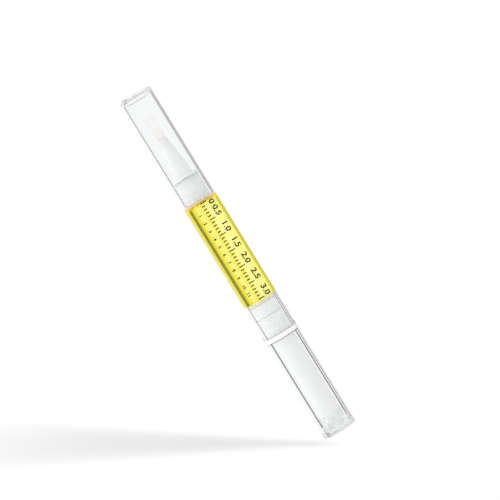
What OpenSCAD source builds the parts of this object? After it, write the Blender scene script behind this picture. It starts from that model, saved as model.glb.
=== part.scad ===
// Twist-up oil pen with a clear barrel, a brush tip and a click knob at the tail.
// The pen stands on its tail, its axis is Z, and the cap is at the top. Millimetres.

/* [Feed] */
// Turns of the knob from full to empty
turns = 12; // [6:1:13]
// Distance from one thread crest to the next
pitch = 1.5; // [1.2:0.1:1.8]
// Radius of the screw over its crests
screw_r = 2.1; // [1.9:0.05:2.2]
// Height of the thread
thread_h = 0.45; // [0.3:0.05:0.6]
// Length of the nut, counted in pitches
nut_pitches = 3; // [2:1:3]
// Height of the nut's six-sided head
nut_head_h = 2; // [1.4:0.1:2.6]
// Wall of the nut's round collar outside its thread
nut_wall = 0.6; // [0.4:0.05:0.8]

/* [Barrel] */
// Outside diameter of the barrel
barrel_d = 12.2; // [11.8:0.1:14]
// Thickness of the barrel's wall
barrel_wall = 1; // [0.8:0.05:1.05]
// Oil that the piston can't reach, as a length
oil_spare = 1.2; // [0.8:0.1:3]
// Thickness of the shoulder over the oil
shoulder_t = 1.3; // [0.8:0.1:2.5]
// Radius of the shoulder's outer edge
shoulder_edge_r = 0.35; // [0.1:0.05:0.6]
// Radius of the fillet under the shoulder
chamber_fillet_r = 0.6; // [0.2:0.05:1]
// Radial room between the neck and the cap
neck_room = 0.8; // [0.6:0.05:1.1]
// Thickness of the neck's wall
neck_wall = 0.95; // [0.7:0.05:1.1]
// Length of the neck
neck_l = 8.7; // [6:0.1:12]
// Height of the step on the shoulder that centres the cap
step_h = 0.6; // [0.4:0.1:1]

/* [Nozzle and brush] */
// Reach of the nozzle's flange past the neck
flange_out = 0.15; // [0.05:0.05:0.4]
// Height of the nozzle's flange
flange_h = 1.1; // [0.6:0.1:1.8]
// Radius of the cone where it leaves the flange
cone_base_r = 3.25; // [3:0.05:3.6]
// Wall of the cone at its tip
cone_tip_wall = 0.25; // [0.2:0.05:0.5]
// Length of the cone
cone_l = 14.3; // [10:0.1:18]
// Radius of the bore that holds the bristles
brush_bore_r = 1.5; // [1.4:0.05:1.55]
// Depth of the bore that holds the bristles
brush_bore_l = 3; // [2:0.1:4]
// Radius of the channel that leads the oil through the nozzle
channel_r = 0.9; // [0.7:0.05:1.1]
// Radius of the feed tube
feed_r = 0.42; // [0.35:0.01:0.48]
// Wall of the feed tube
feed_wall = 0.16; // [0.1:0.01:0.2]
// Length of the feed tube below the bristles' plate
feed_tail_l = 8; // [5:0.5:12]
// Length of the feed tube inside the bristles
feed_nose_l = 4; // [2:0.5:5]
// Length of the longest bristle outside the nozzle
bristle_l = 9.1; // [7:0.1:11]
// Radius of the bristle bundle at its tip
brush_tip_r = 2.05; // [1.8:0.05:2.4]
// Thickness of the plate that the bristles are fused to
plate_t = 0.5; // [0.3:0.05:0.8]
// Distance between the rings of bristle corners
ring_gap = 0.059; // [0.056:0.001:0.062]

/* [Cap] */
// Step from the barrel's outside in to the cap's
cap_step = 0.1; // [0.05:0.05:0.3]
// Thickness of the cap's wall
cap_wall = 0.75; // [0.6:0.05:0.8]
// Thickness of the cap's closed end
cap_end_t = 1.7; // [1:0.1:2.5]
// Rise of the cap's domed end
cap_dome_h = 0.35; // [0.1:0.05:0.8]
// Radius of the cap's outer edge
cap_edge_r = 0.5; // [0.2:0.05:0.7]
// Free length between the bristles and the cap's ceiling
tip_room = 6.8; // [5:0.1:12]
// Radius of the moulding mark under the ceiling
cap_gate_r = 0.5; // [0.3:0.05:0.8]
// Height of the moulding mark under the ceiling
cap_gate_h = 0.35; // [0.1:0.05:0.6]

/* [Piston] */
// Radial room between the nut and the piston's skirt
skirt_room = 0.71; // [0.5:0.01:0.8]
// Free length between the nut and the piston
nut_room = 0.43; // [0.3:0.01:1.5]
// Length of the soft cup
cup_l = 1.3; // [1.1:0.1:1.8]
// Depth of the cup's rim behind its face
cup_face_t = 0.7; // [0.6:0.05:0.9]
// Depth of the piston's waist below the bore
waist_depth = 0.35; // [0.2:0.05:0.6]
// Height of the piston's rear lip
rear_lip_h = 1.2; // [0.8:0.1:1.6]
// Radius of the button on the screw's tip
button_r = 1.75; // [1.6:0.05:1.8]
// Height of the button on the screw's tip
button_h = 0.9; // [0.7:0.05:1.1]
// Radius of the screw's neck below the button
button_neck_r = 1.2; // [1:0.05:1.3]

/* [Knob] */
// Step from the barrel's outside in to the knob's
knob_step = 0.05; // [0.05:0.05:0.3]
// Thickness of the knob's clear wall
knob_wall = 1.1; // [0.9:0.05:1.15]
// Thickness of the end plug's disc
plug_t = 1.9; // [1.2:0.1:2.6]
// Radius of the end plug's outer edge
plug_edge_r = 0.5; // [0.2:0.05:0.8]
// Length of the end plug's ring inside the knob
plug_ring_l = 4.7; // [4:0.1:6]
// Radial room between the end plug's ring and the drive tube
plug_ring_room = 0.25; // [0.2:0.05:0.4]
// Width of a snap window in the end plug's ring
window_w = 2.8; // [2:0.1:3.2]
// Height of a snap window in the end plug's ring
window_h = 2.2; // [1.6:0.1:2.6]
// Step from the drive tube in to the journal that carries the click ring
journal_step = 0.6; // [0.5:0.05:0.7]
// Depth of the two flats on the journal
flat_depth = 0.3; // [0.2:0.05:0.4]
// Free length between the end plug and the screw's foot
tail_room = 3.2; // [2.9:0.1:5]
// Free length between the end plug and the drive tube
drive_room = 2.1; // [1.8:0.1:2.6]
// Height of the screw's winged foot
foot_h = 2; // [1.4:0.1:3]
// Reach of the foot's wings past the screw
wing_out = 0.65; // [0.5:0.05:0.7]
// Width of the foot's wings
foot_w = 1.5; // [1:0.1:1.6]

/* [Guide sleeve] */
// Length of the bearing for the drive tube
bearing_l = 4.1; // [3.6:0.1:6]
// Height of the click chamber
click_h = 2; // [1.6:0.1:3]
// Thickness of the web under the nut
web_t = 0.6; // [0.4:0.1:1]
// Height of the band between barrel and knob
band_h = 1.5; // [1:0.1:3]
// Radius of the band's outer edges
band_edge_r = 0.2; // [0.05:0.05:0.3]
// Height of the drive tube's snap rib
rib_h = 0.6; // [0.4:0.1:1]
// Reach of the drive tube's snap rib
rib_out = 0.3; // [0.2:0.05:0.35]
// Height of the sleeve's locking lugs
lug_h = 1.3; // [0.8:0.1:2]
// Width of the sleeve's locking lugs
lug_w = 1.4; // [1:0.1:2]
// Reach of the sleeve's locking lugs into the barrel's wall
lug_out = 0.6; // [0.4:0.05:0.7]
// Number of clicks in one turn
clicks = 12; // [8:1:16]
// Depth of the click teeth
tooth_h = 0.4; // [0.2:0.05:0.45]
// Thickness of the click ring
click_ring_t = 0.35; // [0.25:0.05:0.4]
// Thickness of a pawl
pawl_t = 0.3; // [0.2:0.05:0.35]

/* [Fits] */
// Clearance between pieces that are fixed to each other
fit_gap = 0.05; // [0.02:0.01:0.08]
// Clearance between pieces that move on each other
run_gap = 0.1; // [0.08:0.01:0.14]
// Radial clearance in the thread
thread_gap = 0.12; // [0.1:0.01:0.16]
// Clearance of the soft cup and the rear lip in the bore
wipe_gap = 0.04; // [0.03:0.01:0.08]

/* [Hidden] */
$fn = 96;

// Overrun of a cut past the face that it opens.
over = 0.5;
// Depth to which joined solids reach into each other.
sink = 0.3;

// Thread: two starts on twelve flats, with six rows to a pitch.
starts = 2;
columns = 12;
rows_per_pitch = 6;
row_h = pitch / rows_per_pitch;
lead = starts * pitch;
stroke = turns * lead;
root_r = screw_r - thread_h;
nut_h = nut_pitches * pitch;
// A flat of the nut stands nearer to the axis than its corners, by this factor.
flat_factor = cos(180 / columns);
nut_low_r = (root_r + thread_gap) / flat_factor;
nut_high_r = (screw_r + thread_gap) / flat_factor;
nut_collar_r = nut_high_r + nut_wall;

// Heights along the pen.
foot_z0 = plug_t + tail_room;
nut_z0 = foot_z0 + foot_h + stroke + run_gap;
guide_z0 = nut_z0 - web_t - click_h - bearing_l;
guide_z1 = nut_z0 + nut_head_h;
knob_z1 = guide_z0 - run_gap;
barrel_z0 = guide_z0 + band_h;
piston_z0 = guide_z1 + run_gap;
// The piston's socket holds the screw's button, and the cup closes it towards the oil.
lip_share = 0.5;
roof_share = 0.6;
skirt_roof_z = nut_z0 + nut_h + nut_room;
thread_z1 = skirt_roof_z - run_gap;
socket_z0 = skirt_roof_z + button_h * lip_share;
button_z0 = socket_z0 + run_gap;
button_z1 = button_z0 + button_h;
core_z1 = button_z1 + run_gap + cup_face_t * roof_share;
oil_z0 = core_z1 + cup_face_t;
chamber_z1 = oil_z0 + stroke + oil_spare;
shoulder_z = chamber_z1 + shoulder_t;
neck_z1 = shoulder_z + neck_l;
cone_z0 = neck_z1 + flange_h;
cone_z1 = cone_z0 + cone_l;
tip_z = cone_z1 + bristle_l;
ceiling_z = tip_z + tip_room;
cap_z0 = shoulder_z + fit_gap;
cap_z1 = ceiling_z + cap_end_t;

// Radii of the barrel, cap and knob.
barrel_r = barrel_d / 2;
bore_r = barrel_r - barrel_wall;
cap_r = barrel_r - cap_step;
cap_bore_r = cap_r - cap_wall;
step_r = cap_bore_r - run_gap;
neck_r = cap_bore_r - neck_room;
neck_bore_r = neck_r - neck_wall;
knob_r = barrel_r - knob_step;
knob_bore_r = knob_r - knob_wall;

// Drive tube's bore and its two slots for the foot's wings.
foot_r = screw_r + wing_out;
drive_bore_r = screw_r + 1.5 * run_gap;
slot_r = foot_r + run_gap;
slot_w = foot_w + 2 * run_gap;

// Guide sleeve: its wall is as thick as the drive tube's wall outside the slots.
guide_r = bore_r - fit_gap;
drive_r = (guide_r + slot_r - run_gap) / 2;
journal_r = drive_r - journal_step;
bearing_r = drive_r + run_gap;
rib_r = drive_r + rib_out;
rib_place_share = 0.58;
rib_z = guide_z0 + bearing_l * rib_place_share;
click_z0 = guide_z0 + bearing_l;
crest_r = bearing_r + run_gap;
valley_r = crest_r + tooth_h;
web_hole_r = foot_r + 3 * run_gap;
// The nut's head reaches halfway from the web's hole to the sleeve's outside.
nut_head_r = (guide_r + web_hole_r) / 2 + fit_gap;
tooth_steps = 4;
tooth_span_share = 0.9;
// A pawl ends just short of a tooth's steep face, two teeth away from its root.
pawl_steps = 12;
pawl_play = 1.5;
pawl_sweep = 2 * 360 / clicks - pawl_play;
drive_z0 = plug_t + drive_room;
drive_shoulder_z = click_z0 - run_gap;
drive_z1 = click_z0 + click_h - run_gap;

// Snap bumps of the knob in the plug's windows, and the plug's two keys in the drive tube.
plug_ring_r = knob_bore_r - fit_gap;
plug_ring_in_r = drive_r + plug_ring_room;
plug_ring_t = plug_ring_r - plug_ring_in_r;
bump_share = 0.4;
bump_out = plug_ring_t * bump_share;
bump_w = window_w - 4 * fit_gap;
bump_h = window_h - 6 * fit_gap;
bump_z0 = plug_t + 3 * fit_gap;
key_share = 0.45;
plug_key_w = window_w * key_share;
plug_key_h = plug_ring_l - drive_room;
key_in_r = drive_bore_r + 3 * run_gap;

// Piston and cup.
skirt_r = nut_collar_r + skirt_room;
waist_r = bore_r - waist_depth;
cup_z0 = oil_z0 - cup_l;
cup_r = bore_r - wipe_gap;
cup_rim_share = 0.92;
boss_share = 0.92;
boss_r = waist_r * boss_share;
neck_gap = 2 * run_gap;

// Bristles: rings of a triangular lattice, of which every other pair carries strands.
plate_drop_share = 0.27;
plate_z1 = cone_z1 - brush_bore_r * plate_drop_share;
plate_r = brush_bore_r - 1.6 * fit_gap;
plate_hole_r = feed_r + fit_gap;
ring_in = 5;
ring_pairs = round((plate_r - plate_hole_r) / ring_gap / 2);
ring_out = ring_in + 1 + 2 * ring_pairs;
strand_l = tip_z - plate_z1;
bend_share = 0.4;
bulge_share = 0.6;
crown_share = 0.1;
length_spread_share = 0.035;
tip_taper_share = 0.55;
seed = 11;

// Points of an arc in the plane, from one angle to another.
function arc(x, y, r, from, to, steps) =
    [for (i = [0:steps]) let (a = from + (to - from) * i / steps) [x + r * cos(a), y + r * sin(a)]];

// Radius of a two-level thread at one grid point: half of the rows are crest.
function thread_r(column, row, low, high) =
    let (step = (row - column) % rows_per_pitch, s = (step + rows_per_pitch) % rows_per_pitch)
    (s >= 2 && s <= 4) ? high : low;

// One ring of points, with a radius from a list and one height.
function ring(radii, z) =
    [for (i = [0:columns - 1]) let (a = 360 * i / columns) [radii[i] * cos(a), radii[i] * sin(a), z]];
function round_ring(r, z) = ring([for (i = [0:columns - 1]) r], z);
function thread_ring(row, low, high) =
    ring([for (i = [0:columns - 1]) thread_r(i, row, low, high)], nut_z0 + row * row_h);

function flatten(lists) = [for (list = lists) each list];

// Closed body from a stack of rings that runs upwards. The diagonals follow a right-hand thread.
module ring_stack(rings) {
    n = columns;
    last = len(rings) - 1;
    sides = [for (k = [0:last - 1], i = [0:n - 1]) let (j = (i + 1) % n)
        each [[k * n + i, (k + 1) * n + i, (k + 1) * n + j], [k * n + i, (k + 1) * n + j, k * n + j]]];
    bottom = [for (i = [0:n - 1]) i];
    top = [for (i = [n - 1:-1:0]) last * n + i];
    polyhedron(flatten(rings), concat(sides, [bottom, top]));
}

// Closed tube from rings that run up the outside and down the inside.
module ring_loop(rings) {
    n = columns;
    count = len(rings);
    sides = [for (k = [0:count - 1], i = [0:n - 1]) let (j = (i + 1) % n, m = (k + 1) % count)
        each [[k * n + i, m * n + i, k * n + j], [m * n + i, m * n + j, k * n + j]]];
    polyhedron(flatten(rings), sides);
}

// Plain tube with its lower end at the given height.
module tube(r, inner_r, h, z) {
    translate([0, 0, z])
        difference() {
            cylinder(r = r, h = h);
            translate([0, 0, -over])
                cylinder(r = inner_r, h = h + 2 * over);
        }
}

// Block centred on the axis, with its lower face at the given height.
module block(x, y, h, z) {
    translate([-x / 2, -y / 2, z])
        cube([x, y, h]);
}

// Clear cap with a domed end, an even wall and a moulding mark under its ceiling.
module cap() {
    edge_z = cap_z1 - cap_dome_h - cap_edge_r;
    rim = cap_r - cap_edge_r;
    fillet = cap_wall / 2;
    lip = cap_wall / 3;
    color("lightcyan", 0.4)
        rotate_extrude()
            polygon(concat(
                [[0, ceiling_z - cap_gate_h], [cap_gate_r, ceiling_z - cap_gate_h], [cap_gate_r, ceiling_z]],
                arc(cap_bore_r - fillet, ceiling_z - fillet, fillet, 90, 0, 6),
                [[cap_bore_r, cap_z0 + lip], [cap_bore_r + lip, cap_z0], [cap_r, cap_z0]],
                arc(rim, edge_z, cap_edge_r, 0, 75, 8),
                [for (i = [1:8]) let (s = 1 - i / 8) [rim * s, cap_z1 - cap_dome_h * s * s]]
            ));
}

// Clear barrel: oil chamber, shoulder, step for the cap, neck, and two blind notches for the lugs.
module barrel() {
    e = shoulder_edge_r;
    f = chamber_fillet_r;
    neck_edge = neck_wall / 4;
    color("lightcyan", 0.4)
        difference() {
            rotate_extrude()
                polygon(concat(
                    [[bore_r, barrel_z0], [barrel_r, barrel_z0]],
                    arc(barrel_r - e, shoulder_z - e, e, 0, 90, 8),
                    [[step_r, shoulder_z], [step_r, shoulder_z + step_h], [neck_r, shoulder_z + step_h]],
                    [[neck_r, neck_z1 - neck_edge], [neck_r - neck_edge, neck_z1], [neck_bore_r, neck_z1]],
                    [[neck_bore_r, chamber_z1]],
                    arc(bore_r - f, chamber_z1 - f, f, 90, 0, 8)
                ));
            for (side = [0, 180])
                rotate([0, 0, side])
                    translate([bore_r - sink, -lug_w / 2 - fit_gap, barrel_z0 - over])
                        cube([lug_out + fit_gap + sink, lug_w + 2 * fit_gap, lug_h + fit_gap + over]);
        }
}

// Oil between the piston's cup and the shoulder.
module oil_fill() {
    r = bore_r - fit_gap / 2;
    c = chamber_fillet_r;
    z0 = oil_z0 + fit_gap;
    z1 = chamber_z1 - fit_gap;
    color("gold", 0.8)
        rotate_extrude()
            polygon([[0, z0], [r, z0], [r, z1 - c], [r - c, z1], [0, z1]]);
}

// White nozzle in one piece: plug in the neck, flange, and a cone whose sides bow outwards.
module brush_holder() {
    plug_r = neck_bore_r - fit_gap;
    plug_tip = plug_r - neck_wall / 3;
    z0 = chamber_z1 + fit_gap;
    flange_r = neck_r + flange_out;
    cone_tip_r = brush_bore_r + cone_tip_wall;
    e = flange_h / 4;
    bow_shares = [[0, 0], [0.27, 0.13], [0.48, 0.35], [0.69, 0.62], [0.86, 0.87], [0.94, 0.97], [1, 1]];
    cone = [for (s = bow_shares)
        [cone_base_r + (cone_tip_r - cone_base_r) * s[1], cone_z0 + cone_l * s[0]]];
    color("white")
        difference() {
            rotate_extrude()
                polygon(concat(
                    [[channel_r, z0], [plug_tip, z0], [plug_r, z0 + neck_wall], [plug_r, neck_z1]],
                    [[flange_r, neck_z1], [flange_r, cone_z0 - e], [flange_r - e, cone_z0]],
                    cone,
                    [[channel_r, cone_z1]]
                ));
            translate([0, 0, cone_z1 - brush_bore_l])
                cylinder(r = brush_bore_r, h = brush_bore_l + over);
        }
}

// Fused root of the bristle bundle, at the bottom of the nozzle's bore.
module brush_root() {
    z0 = cone_z1 - brush_bore_l + fit_gap;
    color("ivory")
        tube(plate_r, plate_hole_r, plate_z1 - plate_t - z0, z0);
}

// Index of a lattice point, by ring and by place round the ring.
function lattice_index(k, m) = 3 * (k * (k - 1) - ring_in * (ring_in - 1)) + m % (6 * k);
function lattice_r(k) =
    plate_hole_r + (plate_r - plate_hole_r) * (k - ring_in) / (ring_out - ring_in);
function lattice_point(k, m) =
    let (r = lattice_r(k), a = 60 * m / k) [r * cos(a), r * sin(a)];
// The strand on ring k, sector s and place t stands on three lattice points.
function strand_base(k, s, t) =
    [[k, s * k + t], [k, s * k + t + 1], [k - 1, s * (k - 1) + t]];

// Brush tip: one closed body, a slice of the root with a three-sided strand on each chosen triangle.
module bristles() {
    lattice = [for (k = [ring_in:ring_out], m = [0:6 * k - 1]) [each lattice_point(k, m), plate_z1]];
    strands = [for (k = [ring_in + 1:2:ring_out], s = [0:5], t = [0:2:k - 1]) [k, s, t]];
    trims = rands(0, length_spread_share, len(strands), seed);
    top_count = len(lattice);
    outer = 6 * ring_out;
    inner = 6 * ring_in;
    function centre(v) =
        let (p = [for (b = strand_base(v[0], v[1], v[2])) lattice_point(b[0], b[1])])
        (p[0] + p[1] + p[2]) / 3;
    // A strand's three corners, moved out with the bundle's radius and drawn in by the taper.
    function strand_ring(v, spread, taper, z) =
        let (c = centre(v)) [for (b = strand_base(v[0], v[1], v[2]))
            [each (c * spread + (lattice_point(b[0], b[1]) - c) * taper), z]];
    bend_spread = 1 + (brush_tip_r / plate_r - 1) * bulge_share;
    tip_spread = brush_tip_r / plate_r;
    function tip_height(v, trim) =
        let (q = norm(centre(v)) / plate_r) plate_z1 + strand_l * (1 - trim - crown_share * q * q);
    bends = [for (v = strands) each strand_ring(v, bend_spread, 1, plate_z1 + strand_l * bend_share)];
    tips = [for (i = [0:len(strands) - 1]) let (v = strands[i])
        each strand_ring(v, tip_spread, tip_taper_share, tip_height(v, trims[i]))];
    lower = concat(
        [for (m = [0:outer - 1]) [each lattice_point(ring_out, m), plate_z1 - plate_t]],
        [for (m = [0:inner - 1]) [each lattice_point(ring_in, m), plate_z1 - plate_t]]);
    bend_at = top_count;
    tip_at = bend_at + len(bends);
    outer_at = tip_at + len(tips);
    inner_at = outer_at + outer;
    // Triangles of the plate's top that carry no strand.
    bare_up = [for (k = [ring_in + 1:ring_out], s = [0:5], t = [0:k - 1])
        if ((k - ring_in) % 2 == 0 || t % 2 == 1)
            [for (b = strand_base(k, s, t)) lattice_index(b[0], b[1])]];
    bare_down = [for (k = [ring_in + 1:ring_out], s = [0:5], t = [0:k - 2])
        [lattice_index(k - 1, s * (k - 1) + t), lattice_index(k, s * k + t + 1),
         lattice_index(k - 1, s * (k - 1) + t + 1)]];
    sides = [for (i = [0:len(strands) - 1])
        let (v = strands[i],
             low = [for (b = strand_base(v[0], v[1], v[2])) lattice_index(b[0], b[1])],
             mid = [for (c = [0:2]) bend_at + 3 * i + c],
             high = [for (c = [0:2]) tip_at + 3 * i + c])
        each concat(strand_sides(low, mid), strand_sides(mid, high), [[high[2], high[1], high[0]]])];
    walls = concat(
        [for (m = [0:outer - 1]) let (n = (m + 1) % outer)
            each [[lattice_index(ring_out, m), lattice_index(ring_out, n), outer_at + n],
                  [lattice_index(ring_out, m), outer_at + n, outer_at + m]]],
        [for (m = [0:inner - 1]) let (n = (m + 1) % inner)
            each [[lattice_index(ring_in, n), lattice_index(ring_in, m), inner_at + m],
                  [lattice_index(ring_in, n), inner_at + m, inner_at + n]]]);
    // Triangles of the plate's underside, between its outer edge and its hole.
    underside = [for (m = [0:outer - 1])
        let (n = m + 1, a = floor(m * inner / outer), b = floor(n * inner / outer))
        each concat([[outer_at + m, outer_at + n % outer, inner_at + a % inner]],
            a == b ? [] : [[outer_at + n % outer, inner_at + b % inner, inner_at + a % inner]])];
    color("whitesmoke")
        polyhedron(concat(lattice, bends, tips, lower),
            concat([for (f = concat(bare_up, bare_down)) [f[2], f[1], f[0]]], sides, walls, underside));
}

// Side triangles between two rings of three points.
function strand_sides(low, high) = [for (c = [0:2]) let (d = (c + 1) % 3)
    each [[low[c], high[c], high[d]], [low[c], high[d], low[d]]]];

// Thin tube that leads the oil into the bristles.
module feed_tube() {
    color("silver")
        tube(feed_r, feed_r - feed_wall, feed_tail_l + feed_nose_l, plate_z1 - feed_tail_l);
}

// Soft cup on the piston's face, with a wiping rim behind and before a waist.
module piston_cup() {
    hollow_r = boss_r + fit_gap;
    mid_z = cup_z0 + cup_l / 2;
    face_r = cup_r * cup_rim_share;
    third = cup_l / 4;
    color("aliceblue")
        rotate_extrude()
            polygon([
                [0, core_z1], [hollow_r, core_z1], [hollow_r, cup_z0], [face_r, cup_z0],
                [cup_r, cup_z0 + third], [cup_r * (1 + cup_rim_share) / 2, mid_z],
                [cup_r, oil_z0 - third], [face_r, oil_z0], [0, oil_z0]
            ]);
}

// White piston: rear lip, waist, boss for the cup, hollow skirt and a socket for the screw's button.
module piston() {
    lip_r = bore_r - wipe_gap;
    slope = lip_r - waist_r;
    boss_z = cup_z0 - fit_gap;
    color("white")
        rotate_extrude()
            polygon([
                [skirt_r, piston_z0], [lip_r - slope / 2, piston_z0], [lip_r, piston_z0 + slope],
                [lip_r, piston_z0 + rear_lip_h], [waist_r, piston_z0 + rear_lip_h + slope],
                [waist_r, boss_z], [boss_r, boss_z], [boss_r, core_z1], [0, core_z1],
                [0, button_z1 + run_gap], [button_r + run_gap, button_z1 + run_gap],
                [button_r + run_gap, socket_z0], [button_neck_r + neck_gap, socket_z0],
                [button_neck_r + neck_gap, skirt_roof_z], [skirt_r, skirt_roof_z]
            ]);
}

// Screw with two starts, a winged foot below and a button above that snaps into the piston.
module screw_rod() {
    low_row = -floor((nut_z0 - foot_z0 - foot_h - row_h) / row_h);
    high_row = floor((thread_z1 - nut_z0) / row_h) - 1;
    color("whitesmoke")
        union() {
            ring_stack(concat(
                [round_ring(root_r, foot_z0 + foot_h - sink)],
                [round_ring(root_r, nut_z0 + (low_row - 1) * row_h)],
                [for (row = [low_row:high_row]) thread_ring(row, root_r, screw_r)],
                [round_ring(button_neck_r, thread_z1), round_ring(button_neck_r, button_z0)],
                [round_ring(button_r, button_z0), round_ring(button_r, button_z1 - button_h / 3)],
                [round_ring(button_neck_r, button_z1)]
            ));
            block(2 * foot_r, foot_w, foot_h, foot_z0);
            translate([0, 0, foot_z0])
                cylinder(r = screw_r, h = foot_h, $fn = columns);
        }
}

// Fixed nut: six-sided head in the sleeve's pocket and a round collar inside the piston's skirt.
module thread_nut() {
    head = [for (i = [0:columns - 1]) nut_head_r * (i % 2 == 0 ? 1 : cos(30))];
    collar_z0 = nut_z0 + nut_head_h;
    last_row = nut_pitches * rows_per_pitch;
    color("gainsboro")
        ring_loop(concat(
            [ring(head, nut_z0), ring(head, collar_z0)],
            [round_ring(nut_collar_r, collar_z0), round_ring(nut_collar_r, nut_z0 + nut_h)],
            [for (row = [last_row:-1:0]) thread_ring(row, nut_low_r, nut_high_r)]
        ));
}

// Outline of the click chamber: sawteeth that let the knob turn one way only.
function tooth_outline() = [for (i = [0:clicks - 1], j = [0:tooth_steps])
    let (s = j / tooth_steps,
         r = valley_r + (crest_r - valley_r) * s,
         a = 360 / clicks * (i + s * tooth_span_share))
    [r * cos(a), r * sin(a)]];

// White sleeve in the barrel's lower end: bearing, snap groove, click chamber, web and nut pocket.
module guide_sleeve() {
    groove_r = rib_r + 2 * run_gap;
    color("white", 0.8)
        difference() {
            union() {
                translate([0, 0, guide_z0])
                    cylinder(r = guide_r, h = guide_z1 - guide_z0);
                for (side = [0, 180])
                    rotate([0, 0, side])
                        translate([guide_r - sink, -lug_w / 2, barrel_z0])
                            cube([lug_out + sink, lug_w, lug_h]);
            }
            translate([0, 0, guide_z0 - over])
                cylinder(r = bearing_r, h = bearing_l + over);
            translate([0, 0, rib_z - run_gap])
                cylinder(r = groove_r, h = rib_h + 2 * run_gap);
            translate([0, 0, click_z0 - sink / 2])
                cylinder(r = bearing_r, h = sink);
            translate([0, 0, click_z0])
                linear_extrude(click_h)
                    polygon(tooth_outline());
            translate([0, 0, click_z0])
                cylinder(r = web_hole_r, h = click_h + web_t + over);
            translate([0, 0, nut_z0])
                cylinder(r = nut_head_r + fit_gap, h = nut_head_h + over, $fn = 6);
        }
}

// Glossy band between barrel and knob.
module mid_ring() {
    e = band_edge_r;
    inner_r = guide_r + fit_gap;
    z1 = guide_z0 + band_h;
    color("white")
        rotate_extrude()
            polygon(concat(
                [[inner_r, guide_z0]],
                arc(barrel_r - e, guide_z0 + e, e, -90, 0, 5),
                arc(barrel_r - e, z1 - e, e, 0, 90, 5),
                [[inner_r, z1]]
            ));
}

// Outline of one pawl: a springy arm that trails behind the knob's turn and ends in a valley. Its
// outer side starts half its thickness inside the ring, so that it leaves the ring at an angle.
function pawl_outline() =
    let (root = journal_r + fit_gap + click_ring_t - pawl_t,
         rise = valley_r - run_gap - pawl_t - root)
    concat(
        [pawl_point(0, root + pawl_t / 2, rise)],
        [for (i = [2:pawl_steps]) pawl_point(i / pawl_steps, root + pawl_t, rise)],
        [for (i = [pawl_steps:-1:0]) pawl_point(i / pawl_steps, root, rise)]);
function pawl_point(s, root, rise) =
    let (r = root + rise * s * s, a = -pawl_sweep * s) [r * cos(a), r * sin(a)];

// Springy ring on the drive tube's journal, with two pawls.
module click_ring() {
    ring_bore_r = journal_r + fit_gap;
    flat_gap_r = journal_r - flat_depth + fit_gap;
    h = click_h - 3 * run_gap;
    color("lightgrey")
        translate([0, 0, click_z0 + run_gap])
            union() {
                linear_extrude(h)
                    difference() {
                        circle(r = ring_bore_r + click_ring_t);
                        intersection() {
                            circle(r = ring_bore_r);
                            square([2 * ring_bore_r + over, 2 * flat_gap_r], center = true);
                        }
                    }
                for (side = [0, 180])
                    rotate([0, 0, side])
                        linear_extrude(h)
                            polygon(pawl_outline());
            }
}

// White core of the knob: a slotted tube with a snap rib and a flatted journal.
module drive_tube() {
    body_h = drive_shoulder_z - drive_z0;
    flat_r = journal_r - flat_depth;
    journal_h = drive_z1 - drive_shoulder_z + sink;
    notch_w = plug_key_w + 2 * fit_gap;
    color("white")
        difference() {
            union() {
                translate([0, 0, drive_z0])
                    cylinder(r = drive_r, h = body_h);
                translate([0, 0, rib_z])
                    cylinder(r = rib_r, h = rib_h);
                translate([0, 0, drive_shoulder_z - sink])
                    intersection() {
                        cylinder(r = journal_r, h = journal_h);
                        translate([-journal_r, -flat_r, 0])
                            cube([2 * journal_r, 2 * flat_r, journal_h]);
                    }
            }
            translate([0, 0, drive_z0 - over])
                linear_extrude(drive_z1 - drive_z0 + 2 * over)
                    union() {
                        circle(r = drive_bore_r);
                        square([2 * slot_r, slot_w], center = true);
                    }
            block(notch_w, 2 * drive_r + over, plug_key_h + fit_gap + over, drive_z0 - over);
        }
}

// Clear outer sleeve of the knob, with four snap bumps for the end plug's windows.
module knob_sleeve() {
    e = knob_wall / 6;
    color("lightcyan", 0.4)
        union() {
            rotate_extrude()
                polygon([
                    [knob_bore_r, plug_t], [knob_r, plug_t], [knob_r, knob_z1 - e],
                    [knob_r - e, knob_z1], [knob_bore_r, knob_z1]
                ]);
            for (corner = [45:90:315])
                rotate([0, 0, corner])
                    translate([knob_bore_r - bump_out, -bump_w / 2, bump_z0])
                        cube([bump_out + sink, bump_w, bump_h]);
        }
}

// Clear end plug: the disc that the pen stands on, and a ring with snap windows and two keys.
module tail_plug() {
    key_reach = plug_ring_r - plug_ring_t / 2 - key_in_r;
    key_h = drive_room + plug_key_h + sink;
    e = plug_edge_r;
    color("lightcyan", 0.4)
        difference() {
            union() {
                rotate_extrude()
                    polygon(concat(
                        [[0, 0]],
                        arc(knob_r - e, e, e, -90, 0, 8),
                        [[knob_r, plug_t], [0, plug_t]]
                    ));
                tube(plug_ring_r, plug_ring_in_r, plug_ring_l + sink, plug_t - sink);
                translate([0, 0, plug_t - sink])
                    cylinder(r = cap_gate_r, h = cap_gate_h + sink);
                for (side = [90, 270])
                    rotate([0, 0, side])
                        translate([key_in_r, -plug_key_w / 2, plug_t - sink])
                            cube([key_reach, plug_key_w, key_h]);
            }
            for (corner = [45:90:315])
                rotate([0, 0, corner])
                    translate([plug_ring_in_r - over, -window_w / 2, plug_t])
                        cube([plug_ring_t + 2 * over, window_w, window_h]);
        }
}

cap();
barrel();
oil_fill();
brush_holder();
brush_root();
bristles();
feed_tube();
piston_cup();
piston();
screw_rod();
thread_nut();
guide_sleeve();
mid_ring();
click_ring();
drive_tube();
knob_sleeve();
tail_plug();
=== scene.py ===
import math
import random

import bmesh
import bpy
from bpy.props import FloatProperty, IntProperty, PointerProperty, StringProperty
from mathutils import Matrix, Vector


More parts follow.
